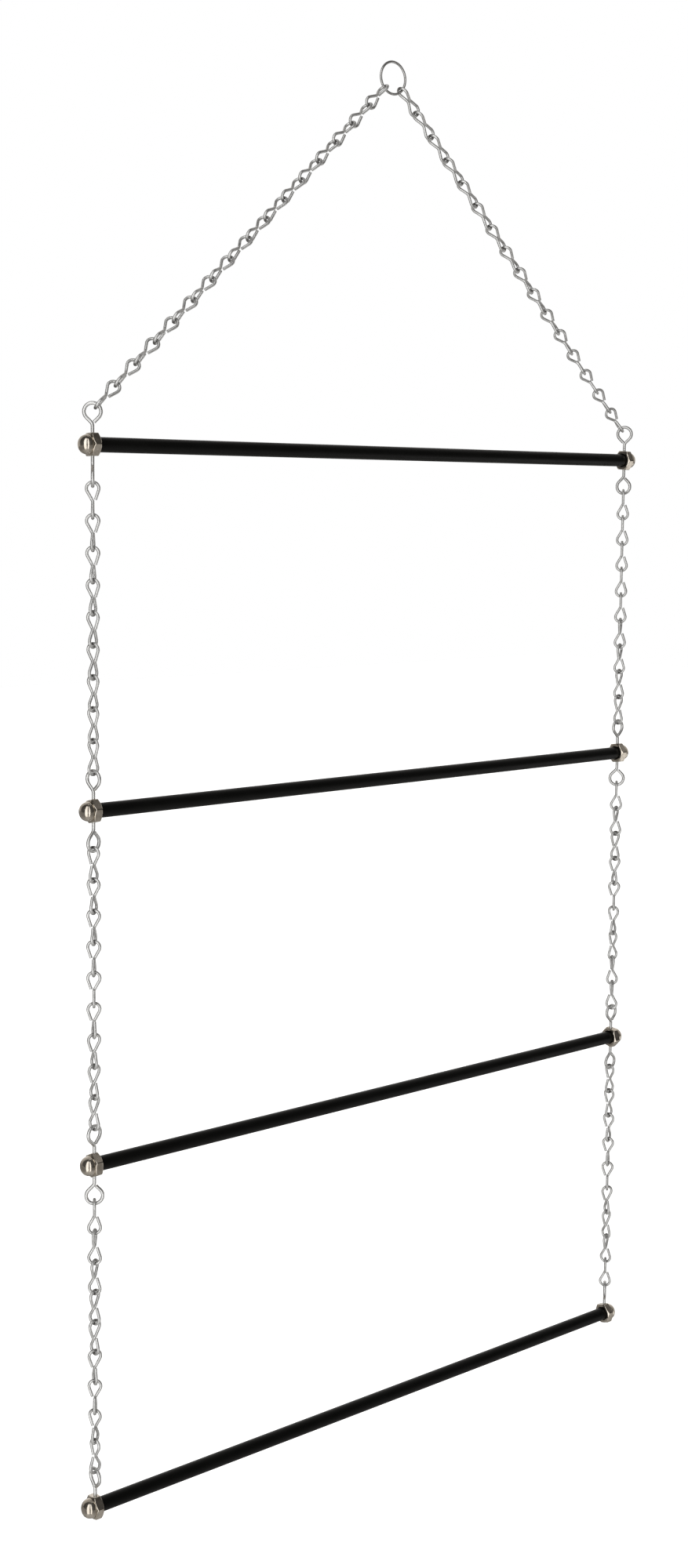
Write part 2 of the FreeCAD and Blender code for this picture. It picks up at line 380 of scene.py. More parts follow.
def add_wire(bm, points, diameter, place=None):
    """Sweep a round wire along points into a mesh, with its cut ends softened."""
    place = place or Matrix.Identity(4)
    uv = bm.loops.layers.uv.verify()
    radius = diameter / 2
    soft = radius * END_CHAMFER
    tangents = []
    for n, point in enumerate(points):
        before = points[max(n - 1, 0)]
        after = points[min(n + 1, len(points) - 1)]
        tangents.append((after - before).normalized())
    side = tangents[0].orthogonal().normalized()
    stations = []
    travelled = 0.0
    for n, (point, tangent) in enumerate(zip(points, tangents)):
        if n:
            side = (side - tangent * side.dot(tangent)).normalized()
            travelled += (point - points[n - 1]).length
        stations.append((point, tangent, side.copy(), travelled, radius))
    first, last = stations[0], stations[-1]
    stations[0] = (first[0] + first[1] * soft, *first[1:])
    stations[-1] = (last[0] - last[1] * soft, *last[1:])
    stations.insert(0, (*first[:4], radius - soft))
    stations.append((*last[:4], radius - soft))
    rings = []
    for point, tangent, side, _, r in stations:
        other = tangent.cross(side)
        offsets = [side * math.cos(a) + other * math.sin(a) for a in around(WIRE_SIDES)]
        rings.append([bm.verts.new(place @ (point + offset * r)) for offset in offsets])
    for n in range(len(rings) - 1):
        for k in range(WIRE_SIDES):
            m = (k + 1) % WIRE_SIDES
            face = bm.faces.new((rings[n][k], rings[n][m], rings[n + 1][m], rings[n + 1][k]))
            corners = ((n, k), (n, k + 1), (n + 1, k + 1), (n + 1, k))
            for loop, (row, column) in zip(face.loops, corners):
                loop[uv].uv = (stations[row][3], column / WIRE_SIDES)
    bm.faces.new(rings[0][::-1])
    bm.faces.new(rings[-1])


RING_STEPS = 120


def add_ring(bm, radius, diameter, middle):
    """A closed ring of round wire in the XZ plane."""
    uv = bm.loops.layers.uv.verify()
    rows = []
    for n in range(RING_STEPS):
        out = Matrix.Rotation(2 * math.pi * n / RING_STEPS, 3, BACK) @ ACROSS
        offsets = [out * math.cos(a) + BACK * math.sin(a) for a in around(WIRE_SIDES)]
        at = middle + out * radius
        rows.append([bm.verts.new(at + offset * (diameter / 2)) for offset in offsets])
    for n in range(RING_STEPS):
        for k in range(WIRE_SIDES):
            after, m = (n + 1) % RING_STEPS, (k + 1) % WIRE_SIDES
            face = bm.faces.new((rows[n][k], rows[after][k], rows[after][m], rows[n][m]))
            corners = ((n, k), (n + 1, k), (n + 1, k + 1), (n, k + 1))
            for loop, (row, column) in zip(face.loops, corners):
                loop[uv].uv = (2 * math.pi * radius * row / RING_STEPS, column / WIRE_SIDES)


TURNED_SIDES = 96


def add_rows(bm, rows):
    """Join rows of points about one axis, the first and last of a single point, into a skin."""
    for first, second in zip(rows, rows[1:]):
        count = max(len(first), len(second))
        for k in range(count):
            m = (k + 1) % count
            corners = [row[n % len(row)] for row, n in ((first, k), (first, m), (second, m), (second, k))]
            bm.faces.new(list(dict.fromkeys(corners)))


def add_turned(bm, profile, place):
    """A solid turned about X from points of distance and radius."""
    rows = []
    for x, radius in profile:
        angles = around(TURNED_SIDES) if radius else [0.0]
        points = [Vector((x, radius * math.cos(a), radius * math.sin(a))) for a in angles]
        rows.append([bm.verts.new(place @ point) for point in points])
    add_rows(bm, rows)


def new_piece(name, bm, material, sharp=35.0):
    """An object of the finished mesh, smooth but for its sharp edges."""
    bmesh.ops.recalc_face_normals(bm, faces=bm.faces)
    for face in bm.faces:
        face.smooth = True
    for edge in bm.edges:
        edge.smooth = edge.calc_face_angle(0.0) < math.radians(sharp)
    mesh = bpy.data.meshes.new(name)
    bm.to_mesh(mesh)
    bm.free()
    mesh.materials.append(material)
    piece = bpy.data.objects.new(name, mesh)
    bpy.context.scene.collection.objects.link(piece)
    return piece


def settle(piece, node):
    """Let a piece stand for its node and ride on the node's body."""
    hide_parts(node)
    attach(piece, body_of(node))


# Nuts and bars

FROM_CORNER = (0.9, 1.8, 3.0, 5.0, 8.0, 12.0, 18.0, 24.0)  # degrees, closer where a corner is rounded
CORNER_STEPS = (-30.0, *(-step for step in reversed(FROM_CORNER)), 0.0, *FROM_CORNER)
CHAMFER_SLOPE = math.tan(math.radians(60))
CHAMFER_STEPS = 8
CHAMFER_SPAN = 1.5  # rows run this far past the chamfer, where its edge is rounded
DOME_STEPS = 24
DOME_FULLNESS = 2.35  # 2 for an ellipse, more for fuller shoulders


def soft_least(a, b, reach):
    """The lesser of two values, rounded over where they meet."""
    share = max(reach - abs(a - b), 0.0) / reach
    return min(a, b) - share * share * reach / 4


def hexagon_radius(sizes, degrees):
    """Radius of the hexagon at an angle from one of its corners, with rounded corners."""
    flat = sizes.nut_across_flats / 2
    return soft_least(
        flat / math.cos(math.radians(30 - degrees)),
        flat / math.cos(math.radians(30 + degrees)),
        2 * sizes.nut_edge_radius,
    )


def nut_rows(sizes):
    """Stations of a nut from the bottom of its bore out, over the hexagon and up the dome.

    Each is the distance from the open face, and the radius, or None on the hexagon.
    """
    bore = sizes.bar_diameter / 2 + sizes.hole_clearance
    bearing = sizes.nut_bearing_diameter / 2
    mouth = 2 * sizes.nut_edge_radius
    depth = sizes.nut_bore_depth
    rows = [(depth, 0.0), (depth, bore), (mouth, bore), (0.0, bore + mouth)]
    reach = sizes.nut_across_flats / 2 / math.cos(math.radians(30)) - bearing
    chamfer = CHAMFER_SPAN * reach / CHAMFER_SLOPE
    for n in range(CHAMFER_STEPS + 1):
        rows.append((chamfer * n / CHAMFER_STEPS, None))
    for n in range(CHAMFER_STEPS + 1):
        rows.append((sizes.nut_hex_height - chamfer * (1 - n / CHAMFER_STEPS), None))
    rise = sizes.nut_length - sizes.nut_hex_height
    for n in range(DOME_STEPS):
        angle = math.pi / 2 * n / DOME_STEPS
        height, radius = (share ** (2 / DOME_FULLNESS) for share in (math.sin(angle), math.cos(angle)))
        rows.append((sizes.nut_hex_height + rise * height, sizes.nut_dome_radius * radius))
    rows.append((sizes.nut_length, 0.0))
    return rows


def add_nut(bm, sizes, place):
    """A low domed nut that opens at x = 0 and has its dome towards +X, a corner towards +Y."""
    bearing = sizes.nut_bearing_diameter / 2
    angles = [60 * side + step for side in range(6) for step in CORNER_STEPS]
    rows = []
    for x, radius in nut_rows(sizes):
        if radius == 0.0:
            rows.append([bm.verts.new(place @ Vector((x, 0, 0)))])
            continue
        row = []
        for degrees in angles:
            r = radius
            if r is None:
                cone = bearing + min(x, sizes.nut_hex_height - x) * CHAMFER_SLOPE
                from_corner = (degrees + 30) % 60 - 30
                r = soft_least(hexagon_radius(sizes, from_corner), cone, sizes.nut_edge_radius)
            turn = math.radians(degrees)
            row.append(bm.verts.new(place @ Vector((x, r * math.cos(turn), r * math.sin(turn)))))
        rows.append(row)
    add_rows(bm, rows)


def cross_drilled(bm, sizes, middles):
    """A mesh with a hole for an eye wire cut up and down through each of the given points."""
    drills = bmesh.new()
    radius = sizes.eye_wire_diameter / 2 + sizes.hole_clearance
    for middle in middles:
        bmesh.ops.create_cone(
            drills,
            cap_ends=True,
            segments=48,
            radius1=radius,
            radius2=radius,
            depth=2 * sizes.nut_across_flats,
            matrix=Matrix.Translation(middle),
        )
    work = [bpy.data.meshes.new(name) for name in ("drilled", "drills")]
    bmesh.ops.recalc_face_normals(bm, faces=bm.faces)
    bm.to_mesh(work[0])
    drills.to_mesh(work[1])
    drills.free()
    blank, cutter = (bpy.data.objects.new(mesh.name, mesh) for mesh in work)
    for helper in (blank, cutter):
        bpy.context.scene.collection.objects.link(helper)
    cut = blank.modifiers.new("cross holes", "BOOLEAN")
    cut.operation = "DIFFERENCE"
    cut.solver = "EXACT"
    cut.object = cutter
    shape = blank.evaluated_get(bpy.context.evaluated_depsgraph_get())
    bm.clear()
    bm.from_mesh(shape.to_mesh())
    shape.to_mesh_clear()
    for helper in (blank, cutter):
        bpy.data.objects.remove(helper)
    for mesh in work:
        bpy.data.meshes.remove(mesh)


BAR_STEPS = 32


def bar_profile(sizes):
    """Points of distance and radius along a bar, with chamfered tips."""
    tip = sizes.bar_length / 2
    radius = sizes.bar_diameter / 2
    chamfer = sizes.bar_tip_chamfer
    body = tip - chamfer
    middle = [(-body + 2 * body * n / BAR_STEPS, radius) for n in range(BAR_STEPS + 1)]
    return [(-tip, 0.0), (-tip, radius - chamfer), *middle, (tip, radius - chamfer), (tip, 0.0)]


# Finishes


def node(tree, kind, **settings):
    """A new shader node with its settings."""
    made = tree.nodes.new(kind)
    for name, value in settings.items():
        setattr(made, name, value)
    return made


def new_group(name, inputs, outputs):
    """An empty shader node group with number sockets, and its input and output nodes."""
    tree = bpy.data.node_groups.new(name, "ShaderNodeTree")
    kind = "NodeSocketFloat"
    for name, default in inputs:
        tree.interface.new_socket(name, in_out="INPUT", socket_type=kind).default_value = default
    for name in outputs:
        tree.interface.new_socket(name, in_out="OUTPUT", socket_type=kind)
    return tree, node(tree, "NodeGroupInput"), node(tree, "NodeGroupOutput")


def spread(tree, value, low, high):
    """Stretch the middle of a noise over 0 to 1."""
    ranged = node(tree, "ShaderNodeMapRange", interpolation_type="SMOOTHSTEP")
    ranged.inputs["From Min"].default_value = low
    ranged.inputs["From Max"].default_value = high
    tree.links.new(value, ranged.inputs["Value"])
    return ranged.outputs["Result"]


def faded(tree, distance, reach):
    """From 1 at no distance down to 0 at the reach."""
    ranged = node(tree, "ShaderNodeMapRange", interpolation_type="SMOOTHSTEP")
    ranged.inputs["From Min"].default_value = 0.0
    ranged.inputs["To Min"].default_value = 1.0
    ranged.inputs["To Max"].default_value = 0.0
    tree.links.new(distance, ranged.inputs["Value"])
    tree.links.new(reach, ranged.inputs["From Max"])
    return ranged.outputs["Result"]


def clouds_group():
    """Slow clouds and fine pits, as in plate and paint."""
    tree, given, result = new_group(
        "Clouds and pits", [("Cloud scale", 90.0), ("Pit scale", 1600.0)], ["Clouds", "Pits"]
    )
    where = node(tree, "ShaderNodeTexCoord")
    for name, detail, low, high in (("Cloud", 4.0, 0.32, 0.68), ("Pit", 2.0, 0.42, 0.66)):
        noise = node(tree, "ShaderNodeTexNoise")
        noise.inputs["Detail"].default_value = detail
        tree.links.new(where.outputs["Object"], noise.inputs["Vector"])
        tree.links.new(given.outputs[f"{name} scale"], noise.inputs["Scale"])
        tree.links.new(spread(tree, noise.outputs["Fac"], low, high), result.inputs[f"{name}s"])
    return tree


def draw_lines_group():
    """Fine lines along a wire, as a drawing die leaves them."""
    tree, given, result = new_group(
        "Draw lines", [("Lines round the wire", 30.0), ("Lines per metre", 60.0)], ["Lines"]
    )
    where = node(tree, "ShaderNodeTexCoord")
    parts = node(tree, "ShaderNodeSeparateXYZ")
    tree.links.new(where.outputs["UV"], parts.inputs["Vector"])
    joined = node(tree, "ShaderNodeCombineXYZ")
    for axis, socket in (("X", "Lines per metre"), ("Y", "Lines round the wire")):
        scaled = node(tree, "ShaderNodeMath", operation="MULTIPLY")
        tree.links.new(parts.outputs[axis], scaled.inputs[0])
        tree.links.new(given.outputs[socket], scaled.inputs[1])
        tree.links.new(scaled.outputs["Value"], joined.inputs[axis])
    noise = node(tree, "ShaderNodeTexNoise")
    noise.inputs["Scale"].default_value = 1.0
    noise.inputs["Detail"].default_value = 3.0
    tree.links.new(joined.outputs["Vector"], noise.inputs["Vector"])
    tree.links.new(spread(tree, noise.outputs["Fac"], 0.3, 0.7), result.inputs["Lines"])
    return tree


def crown_shade_group():
    """A mask for painted shade on the crowns of a link, where it hooks into its neighbours."""
    tree, given, result = new_group(
        "Painted crown shade", [("Middle", 0.037), ("Crown", 0.02), ("Reach", 0.003)], ["Wear"]
    )
    where = node(tree, "ShaderNodeTexCoord")
    along = node(tree, "ShaderNodeSeparateXYZ")
    tree.links.new(where.outputs["UV"], along.inputs["Vector"])
    distance = along.outputs["X"]
    for socket in ("Middle", "Crown"):
        less = node(tree, "ShaderNodeMath", operation="SUBTRACT")
        tree.links.new(distance, less.inputs[0])
        tree.links.new(given.outputs[socket], less.inputs[1])
        size = node(tree, "ShaderNodeMath", operation="ABSOLUTE")
        tree.links.new(less.outputs["Value"], size.inputs[0])
        distance = size.outputs["Value"]
    tree.links.new(faded(tree, distance, given.outputs["Reach"]), result.inputs["Wear"])
    return tree


def specks_group():
    """Sparse fine specks, as of dust or nicks."""
    tree, given, result = new_group(
        "Specks", [("Speck scale", 420.0), ("Speck size", 0.16)], ["Specks"]
    )
    where = node(tree, "ShaderNodeTexCoord")
    cells = node(tree, "ShaderNodeTexVoronoi")
    tree.links.new(where.outputs["Object"], cells.inputs["Vector"])
    tree.links.new(given.outputs["Speck scale"], cells.inputs["Scale"])
    near = faded(tree, cells.outputs["Distance"], given.outputs["Speck size"])
    patches = node(tree, "ShaderNodeTexNoise")
    patches.inputs["Scale"].default_value = 25.0
    tree.links.new(where.outputs["Object"], patches.inputs["Vector"])
    sparse = node(tree, "ShaderNodeMath", operation="MULTIPLY")
    tree.links.new(near, sparse.inputs[0])
    tree.links.new(spread(tree, patches.outputs["Fac"], 0.48, 0.7), sparse.inputs[1])
    tree.links.new(sparse.outputs["Value"], result.inputs["Specks"])
    return tree


def group(builder, name):
    """A shared node group, built the first time it is asked for."""
    return bpy.data.node_groups.get(name) or builder()


def new_material(name, metallic):
    """A material and its shader."""
    material = bpy.data.materials.new(name)
    material.use_nodes = True
    tree = material.node_tree
    shader = next(n for n in tree.nodes if n.type == "BSDF_PRINCIPLED")
    shader.inputs["Metallic"].default_value = metallic
    return material, tree, shader


def placed_group(tree, builder, name, **values):
    """A shared group in a material, with its own values."""
    placed = node(tree, "ShaderNodeGroup", node_tree=group(builder, name))
    for socket, value in values.items():
        placed.inputs[socket.replace("_", " ")].default_value = value
    return placed


def mixed_colour(tree, share, first, second):
    """A colour between two, by a share that changes over the surface."""
    mix = node(tree, "ShaderNodeMix", data_type="RGBA")
    mix.inputs[6].default_value = (*first, 1.0)
    mix.inputs[7].default_value = (*second, 1.0)
    tree.links.new(share, mix.inputs[0])
    return mix.outputs[2]


def ranged_value(tree, value, low, high):
    """A value that runs from low to high as the given one runs from 0 to 1."""
    ranged = node(tree, "ShaderNodeMapRange")
    ranged.inputs["To Min"].default_value = low
    ranged.inputs["To Max"].default_value = high
    tree.links.new(value, ranged.inputs["Value"])
    return ranged.outputs["Result"]


def added(tree, first, second, share):
    """The first value with a share of the second added."""
    total = node(tree, "ShaderNodeMath", operation="MULTIPLY_ADD")
    tree.links.new(second, total.inputs[0])
    total.inputs[1].default_value = share
    tree.links.new(first, total.inputs[2])
    return total.outputs["Value"]


def bumped(tree, shader, height, strength, distance):
    """Raise the surface by a height that changes over it."""
    bump = node(tree, "ShaderNodeBump")
    bump.inputs["Strength"].default_value = strength
    bump.inputs["Distance"].default_value = distance
    tree.links.new(height, bump.inputs["Height"])
    tree.links.new(bump.outputs["Normal"], shader.inputs["Normal"])


def plated_wire(name, light, dark, roughness, metallic):
    """Drawn wire under a thin plate that clouds in places, duller where it is less metallic."""
    found = bpy.data.materials.get(name)
    if found:
        return found
    material, tree, shader = new_material(name, metallic)
    clouds = placed_group(tree, clouds_group, "Clouds and pits", Cloud_scale=140.0, Pit_scale=1900.0)
    lines = placed_group(tree, draw_lines_group, "Draw lines")
    tint = mixed_colour(tree, clouds.outputs["Clouds"], dark, light)
    tree.links.new(tint, shader.inputs["Base Color"])
    worn = added(tree, clouds.outputs["Clouds"], lines.outputs["Lines"], 0.6)
    tree.links.new(ranged_value(tree, worn, *roughness), shader.inputs["Roughness"])
    height = added(tree, lines.outputs["Lines"], clouds.outputs["Pits"], 0.5)
    bumped(tree, shader, height, 0.10, 0.00004)
    return material


def nickel_plate(finishes):
    """Warm polished nickel with a faint haze and nicks."""
    material, tree, shader = new_material("nickel_plate", 1.0)
    clouds = placed_group(tree, clouds_group, "Clouds and pits", Cloud_scale=220.0, Pit_scale=2600.0)
    specks = placed_group(tree, specks_group, "Specks", Speck_scale=900.0, Speck_size=0.12)
    tint = mixed_colour(tree, clouds.outputs["Clouds"], finishes.nickel_dark, finishes.nickel_light)
    tree.links.new(tint, shader.inputs["Base Color"])
    haze = added(tree, clouds.outputs["Clouds"], specks.outputs["Specks"], 0.8)
    tree.links.new(ranged_value(tree, haze, 0.10, 0.17), shader.inputs["Roughness"])
    height = added(tree, clouds.outputs["Pits"], specks.outputs["Specks"], -1.0)
    bumped(tree, shader, height, 0.05, 0.00003)
    return material


def bar_paint(finishes):
    """Satin black paint with a fine orange peel and a little dust."""
    material, tree, shader = new_material("bar_paint", 0.0)
    shader.inputs["Specular IOR Level"].default_value = 0.14
    clouds = placed_group(tree, clouds_group, "Clouds and pits", Cloud_scale=40.0, Pit_scale=750.0)
    specks = placed_group(tree, specks_group, "Specks", Speck_scale=520.0, Speck_size=0.14)
    tint = mixed_colour(tree, specks.outputs["Specks"], finishes.paint, finishes.paint_dust)
    tree.links.new(tint, shader.inputs["Base Color"])
    tree.links.new(ranged_value(tree, clouds.outputs["Clouds"], 0.30, 0.40), shader.inputs["Roughness"])
    bumped(tree, shader, clouds.outputs["Pits"], 0.12, 0.00005)
    return material


# How far the painted crown shade reaches
CROWN_SHADE_REACH = 0.0036  # along the wire from a crown


def chain_zinc(sizes, finishes):
    """The zinc of the chain, with painted shade darkening its crowns, where the links hook into each
    other.
    """
    found = bpy.data.materials.get("chain_zinc")
    if found:
        return found
    material = plated_wire("chain_zinc", finishes.zinc_light, finishes.zinc_dark, (0.25, 0.38), 0.78)
    tree = material.node_tree
    middle, crown = hook_places(sizes)
    shade_mask = placed_group(tree, crown_shade_group, "Painted crown shade", Middle=middle, Crown=crown, Reach=CROWN_SHADE_REACH)
    base = next(n for n in tree.nodes if n.type == "BSDF_PRINCIPLED").inputs["Base Color"]
    # Painted shade: near each crown the base colour is mixed towards a dark colour, as the shade where
    # the links hook into each other
    mix = node(tree, "ShaderNodeMix", data_type="RGBA")
    mix.inputs[7].default_value = (*finishes.zinc_crown_shade, 1.0)
    tree.links.new(base.links[0].from_socket, mix.inputs[6])
    tree.links.new(shade_mask.outputs["Wear"], mix.inputs[0])
    tree.links.new(mix.outputs[2], base)
    return material


# Operators


class RackOperator:
    """What the rack's operators share."""

    bl_options = {"REGISTER", "UNDO"}

    @property
    def sizes(self):
        return bpy.context.scene.blanket_rack_sizes

    @property
    def finishes(self):
        return bpy.context.scene.blanket_rack_finishes


class BLANKET_RACK_OT_hanging_ring(RackOperator, bpy.types.Operator):
    """Make the wire ring that hangs on a hook"""

    bl_idname = "blanket_rack.hanging_ring"
    bl_label = "Hanging Ring"

    def execute(self, context):
        sizes = self.sizes
        radius = (sizes.ring_outside_diameter - sizes.ring_wire_diameter) / 2
        low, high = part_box("hanging_ring")
        bm = bmesh.new()
        add_ring(bm, radius, sizes.ring_wire_diameter, (low + high) / 2)
        light, dark = self.finishes.ring_light, self.finishes.ring_dark
        finish = plated_wire("ring_steel", light, dark, (0.22, 0.38), 0.9)
        piece = new_piece("hanging_ring_wire", bm, finish)
        settle(piece, "hanging_ring")
        return {"FINISHED"}


def make_links(sizes, finish, name, ends, n, count, turns):
    """The left and right link at one level of a chain."""
    points = link_points(sizes)
    bm = bmesh.new()
    for side in SIDES:
        top, foot = ends[side]
        add_wire(bm, points, sizes.link_wire_diameter, link_place(top, foot, n, count, turns[side]))
    piece = new_piece(f"{name}_pair", bm, finish)
    settle(piece, name)


class BLANKET_RACK_OT_hanger_links(RackOperator, bpy.types.Operator):
    """Make the two slanted chains between the ring and the top bar"""

    bl_idname = "blanket_rack.hanger_links"
    bl_label = "Hanger Links"

    def execute(self, context):
        finish = chain_zinc(self.sizes, self.finishes)
        ends = hanger_ends(self.sizes)
        for n in range(HANGER_LINKS):
            name = f"hanger_link_{n + 1:02d}"
            make_links(self.sizes, finish, name, ends, n, HANGER_LINKS, HANGER_TURN)
        return {"FINISHED"}


class BLANKET_RACK_OT_tier_links(RackOperator, bpy.types.Operator):
    """Make the straight chains between the bars"""

    bl_idname = "blanket_rack.tier_links"
    bl_label = "Tier Links"

    def execute(self, context):
        finish = chain_zinc(self.sizes, self.finishes)
        for t, turns in enumerate(TIER_TURN):
            ends = {side: tier_ends(self.sizes, t, side) for side in SIDES}
            for n in range(TIER_LINKS):
                name = f"tier_{t + 1}_link_{n + 1}"
                make_links(self.sizes, finish, name, ends, n, TIER_LINKS, turns)
        return {"FINISHED"}


class BLANKET_RACK_OT_bars(RackOperator, bpy.types.Operator):
    """Make the painted bars"""

    bl_idname = "blanket_rack.bars"
    bl_label = "Bars"

    def execute(self, context):
        sizes = self.sizes
        finish = bar_paint(self.finishes)
        for b in range(BAR_COUNT):
            middle = UP * bar_axis_height(b)
            bm = bmesh.new()
            add_turned(bm, bar_profile(sizes), Matrix.Translation(middle))
            cross_drilled(bm, sizes, [middle + ACROSS * (TOWARD[s] * eye_x(sizes)) for s in SIDES])
            piece = new_piece(f"bar_{b + 1}_painted", bm, finish)
            settle(piece, f"bar_{b + 1}")
        return {"FINISHED"}


class BLANKET_RACK_OT_cap_nuts(RackOperator, bpy.types.Operator):
    """Make the domed nuts on the ends of the bars"""

    bl_idname = "blanket_rack.cap_nuts"
    bl_label = "Cap Nuts"

    def execute(self, context):
        sizes = self.sizes
        finish = nickel_plate(self.finishes)
        for b in range(BAR_COUNT):
            middle = UP * bar_axis_height(b)
            face = sizes.bar_length / 2 - sizes.nut_thread_depth
            bm = bmesh.new()
            for side in SIDES:
                outward = Matrix.Rotation(0.0 if side == "right" else math.pi, 4, "Z")
                turned = Matrix.Rotation(math.radians(NUT_TURN[b][side]), 4, "X")
                at = Matrix.Translation(middle + ACROSS * (TOWARD[side] * face))
                add_nut(bm, sizes, at @ outward @ turned)
            cross_drilled(bm, sizes, [middle + ACROSS * (TOWARD[s] * eye_x(sizes)) for s in SIDES])
            piece = new_piece(f"cap_nuts_{b + 1}_plated", bm, finish, 28.0)
            settle(piece, f"cap_nuts_{b + 1}")
        return {"FINISHED"}


class BLANKET_RACK_OT_eye_wires(RackOperator, bpy.types.Operator):
    """Make the wires through the nuts, with the eyes that the chains hook into"""

    bl_idname = "blanket_rack.eye_wires"
    bl_label = "Eye Wires"

    def execute(self, context):
        sizes = self.sizes
        finishes = self.finishes
        finish = plated_wire("eye_zinc", finishes.zinc_light, finishes.zinc_dark, (0.20, 0.34), 0.85)
        for b in range(BAR_COUNT):
            bm = bmesh.new()
            for side in SIDES:
                lower = LOWER_EYE_TURN[b][side] if b < len(LOWER_EYE_TURN) else None
                points = eye_wire_points(sizes, UPPER_EYE_TURN[b][side], lower)
                at = UP * bar_axis_height(b) + ACROSS * (TOWARD[side] * eye_x(sizes))
                add_wire(bm, points, sizes.eye_wire_diameter, Matrix.Translation(at))
            piece = new_piece(f"eye_wires_{b + 1}_bent", bm, finish)
            settle(piece, f"eye_wires_{b + 1}")
        return {"FINISHED"}


# Studio

CAMERA_FROM_TOP_BAR = Vector((-1.102, -1.331, -0.042))
CAMERA_YAW = 38.61  # degrees from +Y towards +X
CAMERA_PITCH = -5.21
CAMERA_ROLL = 0.589
CAMERA_LENS = 42.45
CAMERA_SHIFT = (-0.0061, -0.0746)
FLOOR_SPAN = 40.0
# Panels: bearing from the camera's in degrees, distance, width, height, radiance and lift
PANELS = {
    "left_panel": (27, 2.29, 1.38, 7.4, 1.55, 1.46),
    "right_panel": (-12, 2.12, 0.6, 7.4, 1.55, 1.46),
    "low_panel": (-107, 2.75, 2.0, 1.4, 0.7, -1.35),
}
# The room as the metal sees it, from behind the camera to behind the rack: place and brightness
ROOM_SHADES = ((0.22, 0.08), (0.56, 0.08), (0.66, 0.45), (0.88, 0.6), (0.95, 1.0))


def studio_camera():
    """The photograph's view: from the front left, a little above the middle of the rack."""
    camera = bpy.data.objects.new("camera", bpy.data.cameras.new("camera"))
    camera.location = UP * bar_axis_height(0) + CAMERA_FROM_TOP_BAR
    level_view = Matrix.Rotation(math.radians(90 + CAMERA_PITCH), 4, "X")
    turned = Matrix.Rotation(math.radians(-CAMERA_YAW), 4, "Z")
    rolled = Matrix.Rotation(math.radians(CAMERA_ROLL), 4, "Z")
    camera.rotation_euler = (turned @ level_view @ rolled).to_euler()
    camera.data.lens = CAMERA_LENS
    camera.data.shift_x, camera.data.shift_y = CAMERA_SHIFT
    camera.data.clip_start = 0.05
    bpy.context.scene.collection.objects.link(camera)
    bpy.context.scene.camera = camera


def panel_light(name, centre, bearing, distance, width, height, radiance, lift):
    """A soft panel that faces the rack, at a bearing in degrees from -Y towards -X."""
    out = Vector((-math.sin(math.radians(bearing)), -math.cos(math.radians(bearing)), 0))
    light = bpy.data.lights.new(name, "AREA")
    light.shape = "RECTANGLE"
    light.size, light.size_y = width, height
    light.energy = radiance * math.pi * width * height
    lamp = bpy.data.objects.new(name, light)
    lamp.location = centre + out * distance + UP * lift
    lamp.rotation_euler = (centre + UP * lift - lamp.location).to_track_quat("-Z", "Y").to_euler()
    lamp.visible_camera = False
    bpy.context.scene.collection.objects.link(lamp)


def studio_world():
    """A white surround behind the rack, and a dim room as the metal sees it."""
    world = bpy.data.worlds.new("studio")
    world.use_nodes = True
    bpy.context.scene.world = world
    tree = world.node_tree
    background = next(n for n in tree.nodes if n.type == "BACKGROUND")
    output = next(n for n in tree.nodes if n.type == "OUTPUT_WORLD")
    where = node(tree, "ShaderNodeTexCoord")
    facing = node(tree, "ShaderNodeVectorMath", operation="DOT_PRODUCT")
    yaw = math.radians(CAMERA_YAW)
    facing.inputs[1].default_value = (math.sin(yaw), math.cos(yaw), 0.0)
    tree.links.new(where.outputs["Generated"], facing.inputs[0])
    ramp = node(tree, "ShaderNodeValToRGB")
    stops = ramp.color_ramp.elements
    stops[0].position, stops[0].color = 0.0, (0.15, 0.145, 0.14, 1)
    stops[1].position, stops[1].color = 1.0, (1.0, 1.0, 1.0, 1)
    for position, shade in ROOM_SHADES:
        stops.new(position).color = (shade, shade * 0.97, shade * 0.94, 1)
    share = node(tree, "ShaderNodeMath", operation="MULTIPLY_ADD")
    share.inputs[1].default_value = 0.5
    share.inputs[2].default_value = 0.5
    tree.links.new(facing.outputs["Value"], share.inputs[0])
    tree.links.new(share.outputs["Value"], ramp.inputs["Fac"])
    tree.links.new(ramp.outputs["Color"], background.inputs["Color"])
    white = node(tree, "ShaderNodeBackground")
    white.inputs["Color"].default_value = (1.0, 1.0, 1.0, 1.0)
    path = node(tree, "ShaderNodeLightPath")
    mix = node(tree, "ShaderNodeMixShader")
    tree.links.new(path.outputs["Is Camera Ray"], mix.inputs["Fac"])
    tree.links.new(background.outputs["Background"], mix.inputs[1])
    tree.links.new(white.outputs["Background"], mix.inputs[2])
    tree.links.new(mix.outputs["Shader"], output.inputs["Surface"])


def studio_floor(finishes, height):
    """A pale floor, lit up to white where the camera looks straight at it."""
    bm = bmesh.new()
    bmesh.ops.create_grid(bm, x_segments=1, y_segments=1, size=FLOOR_SPAN / 2)
    mesh = bpy.data.meshes.new("floor")
    bm.to_mesh(mesh)
    bm.free()
    material, tree, shader = new_material("pale_floor", 0.0)
    shader.inputs["Base Color"].default_value = (*finishes.floor, 1.0)
    shader.inputs["Roughness"].default_value = 0.9
    shader.inputs["Emission Color"].default_value = (1.0, 1.0, 1.0, 1.0)
    path = node(tree, "ShaderNodeLightPath")
    tree.links.new(path.outputs["Is Camera Ray"], shader.inputs["Emission Strength"])
    mesh.materials.append(material)
    floor = bpy.data.objects.new("floor", mesh)
    floor.location.z = height
    bpy.context.scene.collection.objects.link(floor)


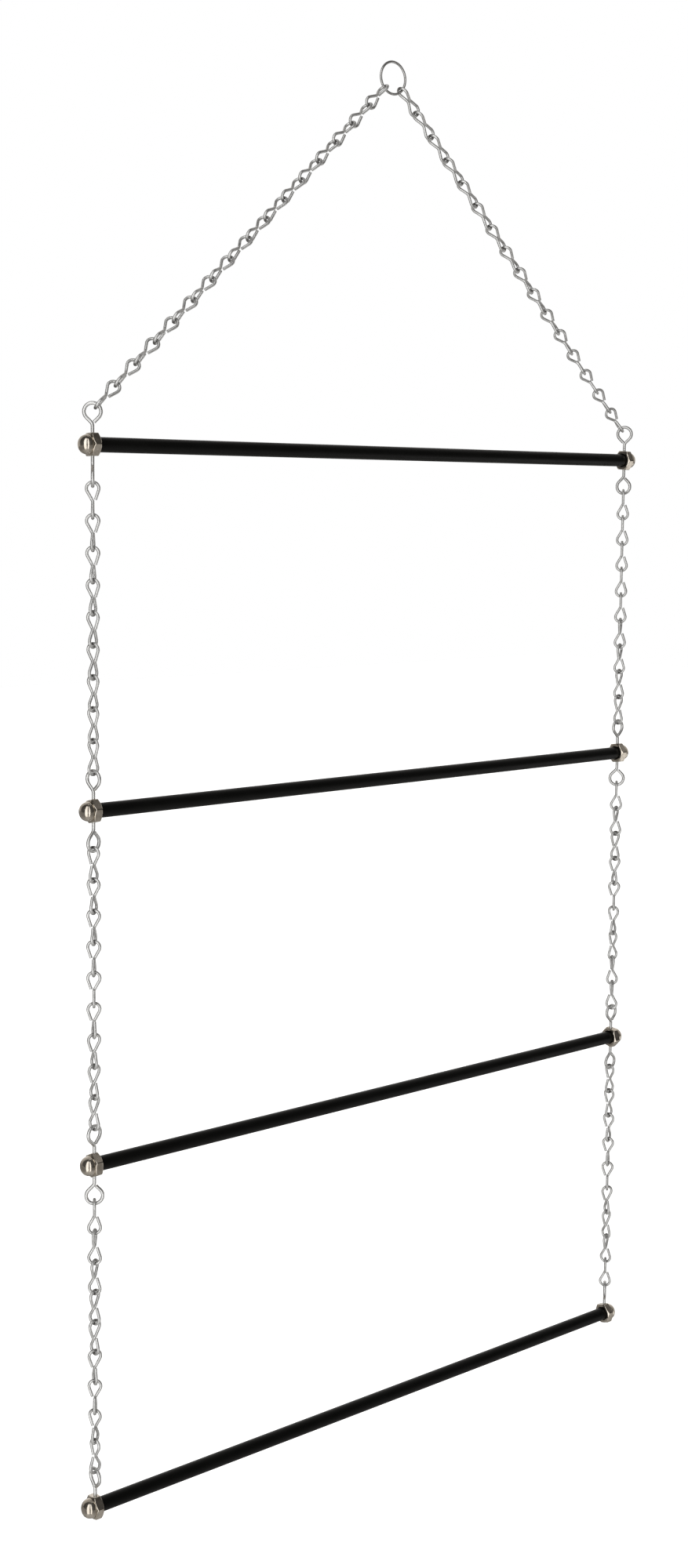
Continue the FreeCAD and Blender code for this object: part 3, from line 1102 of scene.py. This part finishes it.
class BLANKET_RACK_OT_stage(RackOperator, bpy.types.Operator):
    """Make the floor, the light and the camera"""

    bl_idname = "blanket_rack.stage"
    bl_label = "Stage"

    def execute(self, context):
        studio_floor(self.finishes, cad_low.z - self.sizes.floor_drop)
        centre = (cad_low + cad_high) / 2
        for name, (bearing, *rest) in PANELS.items():
            panel_light(name, centre, CAMERA_YAW + bearing, *rest)
        studio_world()
        studio_camera()
        context.scene.view_settings.view_transform = "Standard"
        return {"FINISHED"}


class VIEW3D_PT_blanket_rack(bpy.types.Panel):
    """The rack's pieces and sizes"""

    bl_label = "Blanket Rack"
    bl_space_type = "VIEW_3D"
    bl_region_type = "UI"
    bl_category = "Blanket Rack"

    def draw(self, context):
        for operator in PIECES:
            self.layout.operator(operator.bl_idname)
        for settings in (context.scene.blanket_rack_sizes, context.scene.blanket_rack_finishes):
            box = self.layout.box()
            for name in settings.bl_rna.properties.keys():
                if name not in ("rna_type", "name"):
                    box.prop(settings, name)


PIECES = (
    BLANKET_RACK_OT_hanging_ring,
    BLANKET_RACK_OT_hanger_links,
    BLANKET_RACK_OT_tier_links,
    BLANKET_RACK_OT_bars,
    BLANKET_RACK_OT_cap_nuts,
    BLANKET_RACK_OT_eye_wires,
    BLANKET_RACK_OT_stage,
)
CLASSES = (BlanketRackSizes, BlanketRackFinishes, *PIECES, VIEW3D_PT_blanket_rack)


def register():
    for one in CLASSES:
        bpy.utils.register_class(one)
    bpy.types.Scene.blanket_rack_sizes = PointerProperty(type=BlanketRackSizes)
    bpy.types.Scene.blanket_rack_finishes = PointerProperty(type=BlanketRackFinishes)


def unregister():
    del bpy.types.Scene.blanket_rack_finishes
    del bpy.types.Scene.blanket_rack_sizes
    for one in reversed(CLASSES):
        bpy.utils.unregister_class(one)


def main():
    register()
    bpy.ops.blanket_rack.hanging_ring()
    bpy.ops.blanket_rack.hanger_links()
    bpy.ops.blanket_rack.tier_links()
    bpy.ops.blanket_rack.bars()
    bpy.ops.blanket_rack.cap_nuts()
    bpy.ops.blanket_rack.eye_wires()
    bpy.ops.blanket_rack.stage()


if __name__ == "__main__":
    main()
